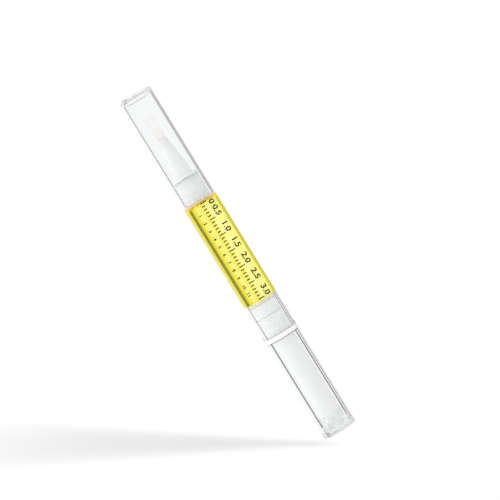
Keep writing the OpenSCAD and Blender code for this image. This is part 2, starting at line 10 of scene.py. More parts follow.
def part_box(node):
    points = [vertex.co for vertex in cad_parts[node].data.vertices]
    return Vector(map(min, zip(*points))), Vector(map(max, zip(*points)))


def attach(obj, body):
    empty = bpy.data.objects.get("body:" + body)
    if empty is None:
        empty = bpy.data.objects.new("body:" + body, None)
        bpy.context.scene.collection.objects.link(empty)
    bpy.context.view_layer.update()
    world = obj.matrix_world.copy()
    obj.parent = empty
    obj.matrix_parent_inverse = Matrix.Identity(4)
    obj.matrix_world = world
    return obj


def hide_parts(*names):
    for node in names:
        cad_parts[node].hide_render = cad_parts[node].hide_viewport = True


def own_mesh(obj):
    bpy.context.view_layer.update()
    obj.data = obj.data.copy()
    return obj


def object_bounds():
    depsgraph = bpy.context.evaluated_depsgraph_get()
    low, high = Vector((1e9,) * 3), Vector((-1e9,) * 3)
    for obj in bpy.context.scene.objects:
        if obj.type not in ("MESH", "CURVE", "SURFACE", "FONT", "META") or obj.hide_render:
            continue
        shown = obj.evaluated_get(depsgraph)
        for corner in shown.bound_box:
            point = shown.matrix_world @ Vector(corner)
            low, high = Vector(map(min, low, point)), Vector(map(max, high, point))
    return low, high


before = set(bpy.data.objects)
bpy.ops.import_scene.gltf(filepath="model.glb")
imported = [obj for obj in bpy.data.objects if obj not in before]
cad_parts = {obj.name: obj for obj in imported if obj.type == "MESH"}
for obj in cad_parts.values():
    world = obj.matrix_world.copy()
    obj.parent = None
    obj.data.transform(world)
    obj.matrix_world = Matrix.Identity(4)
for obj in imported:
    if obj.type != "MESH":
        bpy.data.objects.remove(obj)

bl_info = {
    "name": "Nail oil pen",
    "version": (1, 0, 0),
    "blender": (4, 5, 0),
    "location": "View3D > Sidebar > Oil Pen",
    "description": "Builds a clear twist-up oil pen with its brush, feed screw and click knob",
    "category": "Add Mesh",
}

MM = 0.001
CAD_LOW, CAD_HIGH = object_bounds()
MIDDLE = (CAD_LOW + CAD_HIGH) / 2
# Vertices closer than this are one.
WELD = 1e-6
# Flats of a turned piece, too many to be seen.
SEGMENTS = 192
# Edges sharper than this stay sharp.
SHARP = math.radians(35)
# Turns round the pen's axis of paired features, and of the four snap windows.
SIDES = (0.0, math.pi)
CORNERS = [corner * math.pi / 4 for corner in (1, 3, 5, 7)]
# Roundings of small edges.
FINE_EDGE, FOOT_EDGE, SOFT_EDGE = 0.05 * MM, 0.08 * MM, 0.1 * MM
# Gap between the cap and the barrel's shoulder.
CAP_GAP = 0.05 * MM
# A ray in a clear wall is let go after this many bounces, or mirrored ones, as Cycles soon drops it.
MOST_BOUNCES, MOST_MIRRORED = 8.5, 3.5
# Share of the light that a clear wall passes, and that an outer wall passes on the light's way in.
PASSED, PASSED_IN = 0.97, 0.1
# Where the painted dark line on a clear inner wall starts, how soon it is dark, and where it fades and ends,
# by the wall's turn from the ray: 0 is face-on, and 1 edge-on.
LINE_START, LINE_SOFT, LINE_DARK, LINE_END = 0.205, 0.02, 0.262, 0.275
WHITE = (1.0, 1.0, 1.0, 1.0)


def mm(*values):
    """Millimetres in Blender's unit."""
    return [value * MM for value in values]


def extent(node):
    """Outer radius, lower height and upper height of a solid of the frame."""
    low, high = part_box(node)
    return high.y, low.z, high.z


def shoulder_z():
    """Height of the barrel's shoulder, just under the cap."""
    return extent("cap")[1] - CAP_GAP


def length(words, value_mm):
    """A size for the panel, given in millimetres."""
    return FloatProperty(name=words.capitalize(), description=words, default=value_mm * MM, unit="LENGTH",
        subtype="DISTANCE", precision=5)


def shade(words, value):
    """A colour for the panel, given as sRGB hex."""
    return StringProperty(name=words.capitalize(), description=f"Colour of {words}, as hex", default=value)


class PenShellSizes(bpy.types.PropertyGroup):
    """Walls and edges of the clear mouldings."""
    barrel_wall: length("wall of the barrel", 1.0)
    shoulder_h: length("thickness of the shoulder", 0.5)
    shoulder_edge: length("rounding of the shoulder", 0.35)
    chamber_edge: length("fillet under the shoulder", 1.0)
    step_h: length("height of the step in the cap", 0.6)
    step_r: length("radius of the step in the cap", 5.15)
    neck_r: length("radius of the neck", 4.45)
    neck_wall: length("wall of the neck", 0.95)
    cap_wall: length("wall of the cap", 0.75)
    cap_end: length("thickness of the cap's closed end", 1.7)
    cap_edge: length("rounding of the cap's end", 0.5)
    cap_dome: length("rise of the cap's domed end", 0.35)
    gate_r: length("radius of a moulding mark", 0.5)
    gate_h: length("height of a moulding mark", 0.35)
    clear_colour: shade("the clear plastic", "#FDFEFE")
    # Colour of the painted dark line on a clear inner wall, standing in for light thrown back inside the
    # plastic.
    edge_colour: shade("the line along a clear inner wall", "#4A4D4C")


class PenNozzleSizes(bpy.types.PropertyGroup):
    """Nozzle and brush tip."""
    channel_r: length("radius of the oil channel", 0.9)
    plug_r: length("radius of the plug in the neck", 3.52)
    flange_h: length("height of the flange", 1.1)
    cone_base_r: length("radius of the cone at the flange", 3.25)
    cone_tip_r: length("radius of the cone's tip", 1.75)
    brush_bore_r: length("radius of the bristles' bore", 1.5)
    brush_bore_l: length("depth of the bristles' bore", 3.0)
    strand_r: length("radius of a bristle", 0.042)
    strands: IntProperty(name="Bristles", description="Number of bristles in the tip", default=560, min=378)
    white_colour: shade("the white mouldings", "#F4F5F4")
    nylon_colour: shade("the bristles", "#F2F2F0")


class PenFeedSizes(bpy.types.PropertyGroup):
    """Oil, piston, screw and guide sleeve."""
    oil_colour: shade("the oil", "#F8EC5C")
    # The oil under the shoulder is painted light: a deeper gold and an emission glow stand in for the light
    # that the shoulder's rounded wall gathers.
    rim_colour: shade("the golden oil under the shoulder", "#FFCE08")
    rim_glow: FloatProperty(name="Rim glow", description="Light that the shoulder gathers in the oil",
        default=0.22)
    oil_depth: FloatProperty(
        name="Oil depth", description="How strongly the oil takes up blue light, per metre", default=230.0)
    wall_overlap: length("overlap of the oil and the barrel's wall", 0.02)
    waist_depth: length("depth of the piston's waist", 0.08)
    piston_edge: length("rounding of the piston's lips", 0.12)
    thread_h: length("height of the screw's thread", 0.45)
    thread_pitch: length("distance between thread crests", 1.5)
    sleeve_colour: shade("the milky sleeve", "#F4F5F5")


class PenKnobSizes(bpy.types.PropertyGroup):
    """Knob, drive tube and end plug."""
    knob_wall: length("wall of the knob", 1.1)
    knob_edge: length("rounding of the knob's upper edge", 0.18)
    plug_h: length("thickness of the end plug's disc", 1.9)
    plug_edge: length("rounding of the end plug", 0.5)
    plug_ring_r: length("outer radius of the end plug's ring", 4.9)
    plug_ring_in_r: length("inner radius of the end plug's ring", 4.15)
    window_w: length("width of a snap window", 2.8)
    window_h: length("height of a snap window", 2.2)
    bore_r: length("bore of the drive tube", 2.25)
    key_h: length("depth of the end plug's keys in the drive tube", 1.3)
    band_edge: length("rounding of the white band", 0.2)
    band_colour: shade("the white band", "#F8F8F8")
    # Colour of the painted dark line on the knob's inner wall, standing in for light thrown back inside the
    # plastic.
    edge_colour: shade("the line along the knob's inner wall", "#141615")
    # Colour of the painted dark line round the knob's upper rim, standing in for light bent away there.
    rim_colour: shade("the line round the knob's upper rim", "#4A4D4C")
    # The disc's clear plastic is tinted greyer than the other clear parts, which darkens it as painted shade.
    disc_colour: shade("the end plug's disc", "#F0F1F1")


class PenMarkSizes(bpy.types.PropertyGroup):
    """Plain graduation marks printed on the barrel."""
    figure_h: length("height of the large figures", 2.2)
    small_h: length("height of the small figures", 1.1)
    line_w: length("width of a graduation line", 0.36)
    stroke_w: length("extra thickness of the figures' strokes", 0.09)
    film: length("height of the ink over the barrel", 0.015)
    volume_step: length("length of the barrel that holds half a millilitre", 6.12)
    ink_colour: shade("the ink", "#1B160B")


class PenStageSizes(bpy.types.PropertyGroup):
    """Camera, floor and light."""
    distance: length("distance of the camera from the pen", 420.0)
    view_w: length("width that the camera sees at the pen", 166.67)
    lean: FloatProperty(name="Lean", description="Tilt of the pen in the picture, to the left of upright",
        default=math.radians(31.57), unit="ROTATION", subtype="ANGLE")
    aim_x: length("how far the camera aims beside the pen", 5.74)
    aim_z: length("how far the camera aims above the pen's middle", 1.13)
    floor_r: length("radius of the floor", 6000.0)
    floor_drop: length("drop of the floor below the camera's aim", 64.5)


SETTINGS = {
    "oilpen_shell": PenShellSizes,
    "oilpen_nozzle": PenNozzleSizes,
    "oilpen_feed": PenFeedSizes,
    "oilpen_knob": PenKnobSizes,
    "oilpen_marks": PenMarkSizes,
    "oilpen_stage": PenStageSizes,
}


def linear(colour):
    """Linear red, green, blue and alpha of an sRGB hex value."""
    parts = [int(colour[i:i + 2], 16) / 255 for i in (1, 3, 5)]
    return [p / 12.92 if p <= 0.04045 else ((p + 0.055) / 1.055) ** 2.4 for p in parts] + [1.0]


def toned(colour, share):
    """A linear colour made darker or lighter."""
    return [c * share for c in colour[:3]] + [1.0]


def greys(levels):
    """Stops of a colour ramp from (place, brightness) pairs."""
    return [(place, (level, level, level, 1.0)) for place, level in levels]


def by_turn(levels):
    """Stops of a ramp over all directions from (turn, brightness) pairs. The turn is in degrees from
    straight behind the pen, clockwise seen from above."""
    return greys([(0.5 + turn / 360, level) for turn, level in levels])


def add(tree, kind, inputs=(), stops=(), **settings):
    """Adds a node with its settings. Its inputs are values, outputs, or nodes for their first output,
    in the sockets' order or by socket. Stops are a colour ramp's (place, colour) pairs."""
    node = tree.nodes.new("ShaderNode" + kind)
    for name, value in settings.items():
        setattr(node, name, value)
    for socket, value in inputs.items() if isinstance(inputs, dict) else enumerate(inputs):
        if isinstance(value, bpy.types.Node):
            value = value.outputs[0]
        if isinstance(value, bpy.types.NodeSocket):
            tree.links.new(value, node.inputs[socket])
        else:
            node.inputs[socket].default_value = value
    if stops:
        elements = node.color_ramp.elements
        elements.remove(elements[-1])
        for place, colour in stops[1:]:
            elements.new(place).color = colour
        elements[0].position, elements[0].color = stops[0]
    return node


def empty_material(name):
    """A material and its empty tree."""
    made = bpy.data.materials.new(name)
    made.use_nodes = True
    made.node_tree.nodes.clear()
    return made, made.node_tree


def grain(tree, size_mm):
    """Noise on the piece itself, whose features are about size_mm across."""
    place = add(tree, "TexCoord").outputs["Object"]
    return add(tree, "TexNoise", {"Vector": place, "Scale": 1 / (size_mm * MM), "Detail": 3.0})


def let_go(tree):
    """1 for a ray that has bounced in clear walls too often, and 0 for any other."""
    path = add(tree, "LightPath").outputs
    tests = [add(tree, "Math", (path[depth], most), operation="GREATER_THAN")
        for depth, most in (("Ray Depth", MOST_BOUNCES), ("Glossy Depth", MOST_MIRRORED))]
    return add(tree, "Math", (tests[0], tests[1]), operation="MAXIMUM")


def let_through(tree, shader, kept=1.0):
    """Shows a surface to the eye, but lets light straight in to what it holds, and keeps that much of
    it. A ray that has bounced inside a wall many times goes straight on too, so that no black speck is
    left."""
    path = add(tree, "LightPath").outputs
    lamps = add(tree, "Math", (path["Is Shadow Ray"], path["Is Diffuse Ray"]), operation="MAXIMUM")
    straight = add(tree, "Math", (lamps, let_go(tree)), operation="MAXIMUM")
    plain = add(tree, "BsdfTransparent", (add(tree, "MapRange", (lamps, 0, 1, PASSED, kept)),))
    return add(tree, "MixShader", (straight, shader, plain))


def clear_styrene(name, colour, painted_line_colour=None, outside=False, line_start=LINE_START, gloss=0.5,
        most_haze=0.03):
    """Crystal styrene, injection moulded in a polished tool: glassy, with handling haze. Where light starts
    to be thrown back inside the plastic, a real tube shows a thin grey line. On an inner wall given a line
    colour, that line is painted into the surface's colour by how far the wall turns from the ray, so it shows
    from every side.
    An outside wall bends light aside, so that the pen's shadow is grey and not empty."""
    made, tree = empty_material(name)
    patch_mm, least_haze = 2.5, 0.004
    haze = add(tree, "MapRange", (grain(tree, patch_mm), 0, 1, least_haze, most_haze))
    inside = add(tree, "NewGeometry").outputs["Backfacing"]
    base = clear = linear(colour)
    if painted_line_colour:
        dark = linear(painted_line_colour)
        # Painted dark line: the colour turns grey where the wall is turned this far from the ray, in place of
        # light thrown back inside the plastic.
        facing = add(tree, "LayerWeight", (0.5,)).outputs["Facing"]
        line = add(tree, "ValToRGB", (facing,), [
            (0.0, clear), (line_start, clear), (line_start + LINE_SOFT, dark), (LINE_DARK, dark),
            (LINE_END, clear)])
        base = add(tree, "Mix", {0: inside, 6: clear, 7: line}, data_type="RGBA").outputs[2]
    shader = add(tree, "BsdfPrincipled", {
        "Base Color": base, "Roughness": haze, "IOR": 1.5, "Transmission Weight": 1.0,
        "Specular IOR Level": gloss})
    kept = PASSED
    if outside:
        kept = add(tree, "MapRange", (inside, 0, 1, PASSED_IN, PASSED))
    add(tree, "OutputMaterial", (let_through(tree, shader, kept),))
    return made


def yellow_oil(name, colour, depth, glow=0.0):
    """Jojoba-like oil: perfectly smooth, and yellower the more of it light passes through. Against the
    wall that it wets it throws hardly any light back. Its glow is painted light: an emission standing in for
    the light that a rounded wall gathers."""
    made, tree = empty_material(name)
    # Red and green pass nearly whole, and blue is taken up.
    passed = (0.985, 0.98, 0.0, 1.0)
    shader = add(tree, "BsdfPrincipled", {
        "Base Color": linear(colour), "Roughness": 0.0, "IOR": 1.47, "Transmission Weight": 1.0,
        "Specular IOR Level": 0.0, "Emission Color": linear(colour), "Emission Strength": glow})
    body = add(tree, "VolumeAbsorption", (passed, depth))
    add(tree, "OutputMaterial", (let_through(tree, shader), body))
    return made


def white_moulding(name, colour, roughness, glow, grain_mm=0.35, bump_mm=0.004):
    """Pigmented polypropylene or ABS: white all through, with light scattering a little under the
    skin, and the fine spark-eroded grain of its tool."""
    made, tree = empty_material(name)
    texture = grain(tree, grain_mm)
    cloud_mm, cloud_tone, scatter_mm, uneven = 6.0, 0.965, 1.2, 0.15
    tint = linear(colour)
    body = add(tree, "ValToRGB", (grain(tree, cloud_mm),), [(0.3, toned(tint, cloud_tone)), (0.7, tint)])
    bump = add(tree, "Bump", {"Height": texture, "Distance": bump_mm * MM, "Strength": 0.5})
    sheen = add(tree, "MapRange", (texture, 0, 1, roughness * (1 - uneven), roughness * (1 + uneven)))
    shader = add(tree, "BsdfPrincipled", {
        "Base Color": body, "Roughness": sheen, "IOR": 1.5,
        "Subsurface Weight": glow, "Subsurface Radius": (1.0, 1.0, 1.0),
        "Subsurface Scale": scatter_mm * MM, "Normal": bump})
    add(tree, "OutputMaterial", (shader,))
    return made


def nylon_strand(name, colour):
    """Extruded nylon bristle: light passes on through each thin strand, so the tuft stays pale."""
    made, tree = empty_material(name)
    patch_mm, patch_tone, passed_on = 0.8, 0.95, 0.25
    tint = linear(colour)
    body = add(tree, "ValToRGB", (grain(tree, patch_mm),), [(0.3, toned(tint, patch_tone)), (0.7, tint)])
    skin = add(tree, "BsdfPrincipled", {"Base Color": body, "Roughness": 0.45, "IOR": 1.53})
    glow = add(tree, "BsdfTranslucent", (body,))
    add(tree, "OutputMaterial", (add(tree, "MixShader", (passed_on, skin, glow)),))
    return made


def drawn_steel(name):
    """Drawn stainless tube: grey metal with fine lines along its length."""
    made, tree = empty_material(name)
    line_mm, stretch = 0.06, 0.04
    place = add(tree, "TexCoord").outputs["Object"]
    along = add(tree, "Mapping", {"Vector": place, "Scale": (1.0, 1.0, stretch)})
    lines = add(tree, "TexNoise", {"Vector": along, "Scale": 1 / (line_mm * MM)})
    sheen = add(tree, "MapRange", (lines, 0, 1, 0.2, 0.38))
    shader = add(tree, "BsdfPrincipled", {
        "Base Color": linear("#BFC1C2"), "Metallic": 1.0, "Roughness": sheen})
    add(tree, "OutputMaterial", (shader,))
    return made


def printed_ink(name, colour):
    """Pad-printing ink: a thin satin film, slightly uneven where the pad lifted."""
    made, tree = empty_material(name)
    patch_mm, thin_tone = 0.25, 1.5
    dark = linear(colour)
    film = add(tree, "ValToRGB", (grain(tree, patch_mm),), [(0.35, dark), (0.75, toned(dark, thin_tone))])
    shader = add(tree, "BsdfPrincipled", {"Base Color": film, "Roughness": 0.42})
    add(tree, "OutputMaterial", (shader,))
    return made


def is_on(vertex, r, z):
    """Whether a vertex lies on the ring of that radius and height."""
    near = WELD * 5
    return abs(vertex.co.xy.length - r) < near and abs(vertex.co.z - z) < near


def turned(outline, rounds=(), segments=SEGMENTS):
    """Turns an outline of (radius, height) points round the pen's axis, closed on itself unless it
    starts on the axis. Each of rounds is (radius, height, width) of a rounding."""
    shape = bmesh.new()
    points = [shape.verts.new((r, 0.0, z)) for r, z in outline]
    pairs = list(zip(points, points[1:]))
    if outline[0][0] > WELD:
        pairs.append((points[-1], points[0]))
    edges = [shape.edges.new(pair) for pair in pairs]
    bmesh.ops.spin(shape, geom=points + edges, axis=(0, 0, 1), angle=math.tau, steps=segments, use_merge=True)
    bmesh.ops.remove_doubles(shape, verts=shape.verts, dist=WELD)
    bmesh.ops.recalc_face_normals(shape, faces=shape.faces)
    for r, z, width in rounds:
        ring = [e for e in shape.edges if all(is_on(v, r, z) for v in e.verts)]
        if not ring:
            raise RuntimeError(f"no edge to round at radius {r} and height {z}")
        bmesh.ops.bevel(shape, geom=ring, offset=width, offset_type="OFFSET", segments=5, profile=0.5,
            affect="EDGES", material=-1)
    return shape


def prism(sides, r0, r1, depth, middle_z):
    """A prism or cone round the pen's axis."""
    shape = bmesh.new()
    bmesh.ops.create_cone(shape, cap_ends=True, segments=sides, radius1=r0, radius2=r1, depth=depth,
        matrix=Matrix.Translation((0, 0, middle_z)))
    return shape


def block(low, high, turn=0.0):
    """A box between two corners, turned round the pen's axis."""
    low, high = Vector(low), Vector(high)
    size = Matrix.Diagonal((*(high - low), 1))
    shape = bmesh.new()
    place = Matrix.Rotation(turn, 4, "Z") @ Matrix.Translation((low + high) / 2) @ size
    bmesh.ops.create_cube(shape, size=1.0, matrix=place)
    return shape


def to_mesh(name, shape):
    """Turns a shape into a mesh."""
    mesh = bpy.data.meshes.new(name)
    shape.to_mesh(mesh)
    shape.free()
    return mesh


def joined(*shapes):
    """Several shapes in one mesh."""
    whole = bmesh.new()
    for shape in shapes:
        part = to_mesh("part", shape)
        whole.from_mesh(part)
        bpy.data.meshes.remove(part)
    return whole


def placed(name, data):
    """A new object in the scene."""
    made = bpy.data.objects.new(name, data)
    bpy.context.scene.collection.objects.link(made)
    return made


def to_object(name, shape):
    """Puts a shape into the scene."""
    if not shape.faces:
        raise RuntimeError(f"{name} has no faces")
    return placed(name, to_mesh(name, shape))


def finished_shape(holder):
    """The shape that an object's modifiers or its text make."""
    bpy.context.view_layer.update()
    mesh = bpy.data.meshes.new_from_object(holder.evaluated_get(bpy.context.evaluated_depsgraph_get()))
    shape = bmesh.new()
    shape.from_mesh(mesh)
    bpy.data.meshes.remove(mesh)
    return shape


def carve(shape, tool, operation="DIFFERENCE"):
    """Cuts one shape out of another, or unites them."""
    body, knife = to_object("body", shape), to_object("knife", tool)
    boolean = body.modifiers.new("carve", "BOOLEAN")
    boolean.operation, boolean.solver, boolean.object = operation, "EXACT", knife
    whole = finished_shape(body)
    for scrap in (body, knife):
        bpy.data.meshes.remove(scrap.data)
    return whole


def carve_boxes(shape, low, high, turns, operation="DIFFERENCE"):
    """Cuts the same box out of a shape at several turns round the axis, or unites it."""
    for turn in turns:
        shape = carve(shape, block(low, high, turn), operation)
    return shape


def cut_across(shape, place, normal):
    """Adds edges to a shape where a plane meets it."""
    bmesh.ops.bisect_plane(shape, geom=shape.verts[:] + shape.edges[:] + shape.faces[:],
        plane_co=place, plane_no=normal)


def mark_inside(shape):
    """Gives the second material, which carries the painted dark line, to a clear moulding's round inner
    walls.
    """
    straight_in = -0.95
    for face in shape.faces:
        centre = face.calc_center_median()
        if centre.xy.length > WELD and face.normal.xy.dot(centre.xy.normalized()) < straight_in:
            face.material_index = 1


def paint(shape, index, low=-math.inf, high=math.inf):
    """Gives that material to the faces whose middle lies between two heights."""
    for face in shape.faces:
        if low < face.calc_center_median().z < high:
            face.material_index = index


def at_height(points, z):
    """Radius at a height, straight between (height, radius) points."""
    for (low, r0), (high, r1) in zip(points, points[1:]):
        if z <= high:
            return r0 + (r1 - r0) * max(0.0, z - low) / (high - low)
    return points[-1][1]


def piece(name, shape, materials, body, replaces=()):
    """Finishes a piece and puts it on its body, over the solids that it replaces."""
    made = to_object(name, shape)
    for material in materials:
        made.data.materials.append(material)
    made.data.shade_smooth()
    made.data.set_sharp_from_angle(angle=SHARP)
    # Straight walls keep their own normals beside a rounded edge, so that highlights run straight.
    straight = made.modifiers.new("straight walls", "WEIGHTED_NORMAL")
    straight.keep_sharp = True
    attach(made, body)
    if replaces:
        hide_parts(*replaces)
    return made


def dress(node, material):
    """Gives a solid of the frame its finish."""
    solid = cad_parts[node]
    solid.data.materials.clear()
    solid.data.materials.append(material)


def clear_outside(sizes):
    """Outer finish of the clear mouldings, made once."""
    name = "crystal styrene, polished"
    return bpy.data.materials.get(name) or clear_styrene(name, sizes.clear_colour, outside=True)


def white_parts(sizes):
    """Finish of the white inner mouldings, made once."""
    name = "white polypropylene"
    return bpy.data.materials.get(name) or white_moulding(name, sizes.white_colour, roughness=0.38, glow=0.25)


class OILPEN_OT_cap(bpy.types.Operator):
    """Makes the clear cap with its domed end and moulding mark"""
    bl_idname = "oilpen.cap"
    bl_label = "Cap"

    def execute(self, context):
        s = context.scene.oilpen_shell
        r, z0, z1 = extent("cap")
        bore, lip = r - s.cap_wall, s.cap_wall / 3
        rim = r - s.cap_edge
        ceiling = z1 - s.cap_end
        mark_z = ceiling - s.gate_h
        steps = 8
        dome = [(r * i / steps, z1 - s.cap_dome * (r * i / steps / rim) ** 2) for i in range(steps + 1)]
        shape = turned(dome + [
            (r, z0), (bore + lip, z0), (bore, z0 + lip), (bore, ceiling), (s.gate_r, ceiling),
            (s.gate_r, mark_z), (0.0, mark_z)], [
            (*dome[-1], s.cap_edge), (bore, ceiling, s.cap_wall / 2), (r, z0, FOOT_EDGE),
            (s.gate_r, mark_z, SOFT_EDGE)])
        mark_inside(shape)
        # The inner wall's material carries the painted dark line.
        inner = clear_styrene("crystal styrene, cap's inner wall", s.clear_colour, s.edge_colour)
        piece("cap_shell", shape, [clear_outside(s), inner], "cap", ["cap"])
        return {"FINISHED"}


class OILPEN_OT_barrel(bpy.types.Operator):
    """Makes the clear barrel with its shoulder, neck and lug notches"""
    bl_idname = "oilpen.barrel"
    bl_label = "Barrel"

    def execute(self, context):
        s = context.scene.oilpen_shell
        r, z0, z1 = extent("barrel")
        bore, neck_bore = r - s.barrel_wall, s.neck_r - s.neck_wall
        shoulder = shoulder_z()
        chamber, step_z = shoulder - s.shoulder_h, shoulder + s.step_h
        shape = turned([
            (bore, z0), (r, z0), (r, shoulder), (s.step_r, shoulder), (s.step_r, step_z),
            (s.neck_r, step_z), (s.neck_r, z1), (neck_bore, z1), (neck_bore, chamber), (bore, chamber)], [
            (r, shoulder, s.shoulder_edge), (bore, chamber, s.chamber_edge), (s.neck_r, z1, s.neck_wall / 4),
            (r, z0, FOOT_EDGE), (s.step_r, step_z, SOFT_EDGE)])
        # Two notches in the foot take the guide sleeve's lugs.
        notch_r, half_w, notch_h, inward, below = mm(5.7, 0.75, 1.35, 0.4, 0.5)
        low, high = (bore - inward, -half_w, z0 - below), (notch_r, half_w, z0 + notch_h)
        shape = carve_boxes(shape, low, high, SIDES)
        mark_inside(shape)
        # The foot lets the light down to the white band under it.
        paint(shape, 1, high=z0 + WELD)
        # The inner wall's material carries the painted dark line.
        inner = clear_styrene("crystal styrene, wall wet with oil", s.clear_colour, s.edge_colour, gloss=0.0)
        piece("barrel_shell", shape, [clear_outside(s), inner], "barrel", ["barrel"])
        return {"FINISHED"}


class OILPEN_OT_oil(bpy.types.Operator):
    """Makes the oil column, which the rising piston shortens"""
    bl_idname = "oilpen.oil"
    bl_label = "Oil"

    def execute(self, context):
        s, feed = context.scene.oilpen_shell, context.scene.oilpen_feed
        z0 = extent("oil_fill")[1]
        # The oil wets the wall, so its skin lies just inside the plastic and no air line shows.
        r = extent("barrel")[0] - s.barrel_wall + feed.wall_overlap
        top = shoulder_z() - s.shoulder_h + feed.wall_overlap
        shape = turned([(0.0, z0), (r, z0), (r, top), (0.0, top)], [(r, top, s.chamber_edge)])
        # The top of the oil, under the shoulder, takes the painted golden glow.
        paint(shape, 1, low=top - s.chamber_edge - WELD)
        oil = yellow_oil("nail oil", feed.oil_colour, feed.oil_depth)
        rim = yellow_oil("nail oil under the shoulder, painted glow", feed.rim_colour, feed.oil_depth, feed.rim_glow)
        column = piece("oil_column", shape, [oil, rim], "barrel", ["oil_fill"])
        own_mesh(column)
        return {"FINISHED"}


class OILPEN_OT_nozzle(bpy.types.Operator):
    """Makes the white nozzle: plug, flange and bowed cone"""
    bl_idname = "oilpen.nozzle"
    bl_label = "Nozzle"

    def execute(self, context):
        n = context.scene.oilpen_nozzle
        flange_r, z0, z1 = extent("brush_holder")
        neck_z1 = extent("barrel")[2]
        cone_z0, bore_z0 = neck_z1 + n.flange_h, z1 - n.brush_bore_l
        # The cone bows: shares of its height, and of the way in from its base to its tip.
        bow = [(0, 0), (0.27, 0.13), (0.48, 0.35), (0.69, 0.62), (0.86, 0.87), (0.94, 0.97), (1, 1)]
        cone = [(n.cone_base_r + (n.cone_tip_r - n.cone_base_r) * inward, cone_z0 + (z1 - cone_z0) * up)
            for up, inward in bow]
        lead_w, lead_h, root_edge = mm(0.3, 0.95, 0.25)
        shape = turned([
            (n.channel_r, z0), (n.plug_r - lead_w, z0), (n.plug_r, z0 + lead_h), (n.plug_r, neck_z1),
            (flange_r, neck_z1), (flange_r, cone_z0), *cone, (n.brush_bore_r, z1),
            (n.brush_bore_r, bore_z0), (n.channel_r, bore_z0)], [
            (flange_r, cone_z0, n.flange_h / 4), (flange_r, neck_z1, n.flange_h / 10),
            (*cone[-1], SOFT_EDGE), (*cone[0], root_edge)])
        piece("nozzle", shape, [white_parts(n)], "barrel", ["brush_holder"])
        dress("brush_root", white_parts(n))
        dress("feed_tube", drawn_steel("drawn stainless tube"))
        return {"FINISHED"}


class OILPEN_OT_bristles(bpy.types.Operator):
    """Makes the brush tip, strand by strand, on its fused plate"""
    bl_idname = "oilpen.bristles"
    bl_label = "Bristles"

    def execute(self, context):
        n = context.scene.oilpen_nozzle
        z0, z1 = extent("bristles")[1:]
        plate_r, hole_r, plate_h = n.brush_bore_r - 0.08 * MM, 0.47 * MM, 0.5 * MM
        root_z, mouth_z = z0 + plate_h, extent("brush_holder")[2]
        # Radius of the bundle over its height: it opens past the mouth and near its end.
        flare = [(root_z, plate_r), (mouth_z, 1.46 * MM), (115.0 * MM, 1.7 * MM), (118.0 * MM, 1.8 * MM),
            (119.6 * MM, 1.87 * MM), (121.0 * MM, 2.02 * MM), (z1, 2.04 * MM)]
        tuft = turned([(hole_r, z0), (plate_r, z0), (plate_r, root_z), (hole_r, root_z)], segments=64)
        template = strand_mesh()
        dice = random.Random(7)
        golden = math.pi * (3 - math.sqrt(5))
        hollow = (hole_r / plate_r) ** 2
        # How far strands stray from an even pattern, and how much shorter the outer ones are.
        most_turn, most_lean, uneven, dome = 0.08, 0.05, 0.035, 0.1
        # Each strand is sunk into the plate, and waves a little along its length.
        sunk, swing, wave_rate = 0.05 * MM, 0.03, 5
        for i in range(n.strands):
            share = math.sqrt(hollow + (1 - hollow) * (i + 0.5) / n.strands) * (1 - n.strand_r / plate_r)
            turn = i * golden + dice.uniform(-most_turn, most_turn)
            crown = 1 - dome * share ** 4 - dice.uniform(0.0, uneven)
            lean = dice.uniform(-most_lean, most_lean) * MM
            wave = dice.uniform(0, math.tau)
            before = len(tuft.verts)
            tuft.from_mesh(template)
            tuft.verts.ensure_lookup_table()
            for vertex in tuft.verts[before:]:
                rise = vertex.co.z
                z = root_z - sunk + (z1 - root_z) * crown * rise
                r = share * at_height(flare, z) + lean * rise * rise
                angle = turn + swing * math.sin(wave + rise * wave_rate) * rise
                centre = Vector((r * math.cos(angle), r * math.sin(angle)))
                vertex.co = (*(centre + vertex.co.xy * n.strand_r), z)
        bpy.data.meshes.remove(template)
        nylon = nylon_strand("tapered nylon bristle", n.nylon_colour)
        made = piece("bristle_tuft", tuft, [nylon], "barrel", ["bristles"])
        # Strands this thin pass most light on, so they cast no shade on one another.
        made.visible_shadow = made.visible_diffuse = False
        return {"FINISHED"}


def strand_mesh():
    """One tapered strand of unit height and radius, cut across so that it can bend."""
    sides, tip_r = 5, 0.45
    strand = prism(sides, 1.0, tip_r, 1.0, 0.5)
    for share in (0.12, 0.26, 0.42, 0.58, 0.74, 0.9):
        cut_across(strand, (0, 0, share), (0, 0, 1))
    return to_mesh("strand", strand)


class OILPEN_OT_feed(bpy.types.Operator):
    """Makes the piston, its seal, the screw and the guide, and finishes the nut and click ring"""
    bl_idname = "oilpen.feed"
    bl_label = "Piston and screw"

    def execute(self, context):
        s, n, f = context.scene.oilpen_shell, context.scene.oilpen_nozzle, context.scene.oilpen_feed
        white = white_parts(n)
        bore = extent("barrel")[0] - s.barrel_wall
        waist_r = bore - f.waist_depth
        boss_r = waist_r * 0.92
        piece("piston_body", piston_shape(f, waist_r, boss_r), [white], "piston", ["piston"])
        cup = seal_shape(bore + f.wall_overlap, waist_r, boss_r)
        seal = white_moulding("soft seal, wet with oil", "#F4F0C8", roughness=0.3, glow=0.5, grain_mm=0.5)
        piece("piston_seal", cup, [seal], "piston", ["piston_cup"])
        piece("feed_screw", screw_shape(f), [white], "screw", ["screw_rod"])
        milky = white_moulding("milky polypropylene", f.sleeve_colour, roughness=0.3, glow=0.7)
        dress("thread_nut", milky)
        dress("click_ring", white_moulding("grey acetal", "#C9CBCC", roughness=0.35, glow=0.1))
        piece("guide", guide_shape(bore), [milky], "barrel", ["guide_sleeve"])
        return {"FINISHED"}


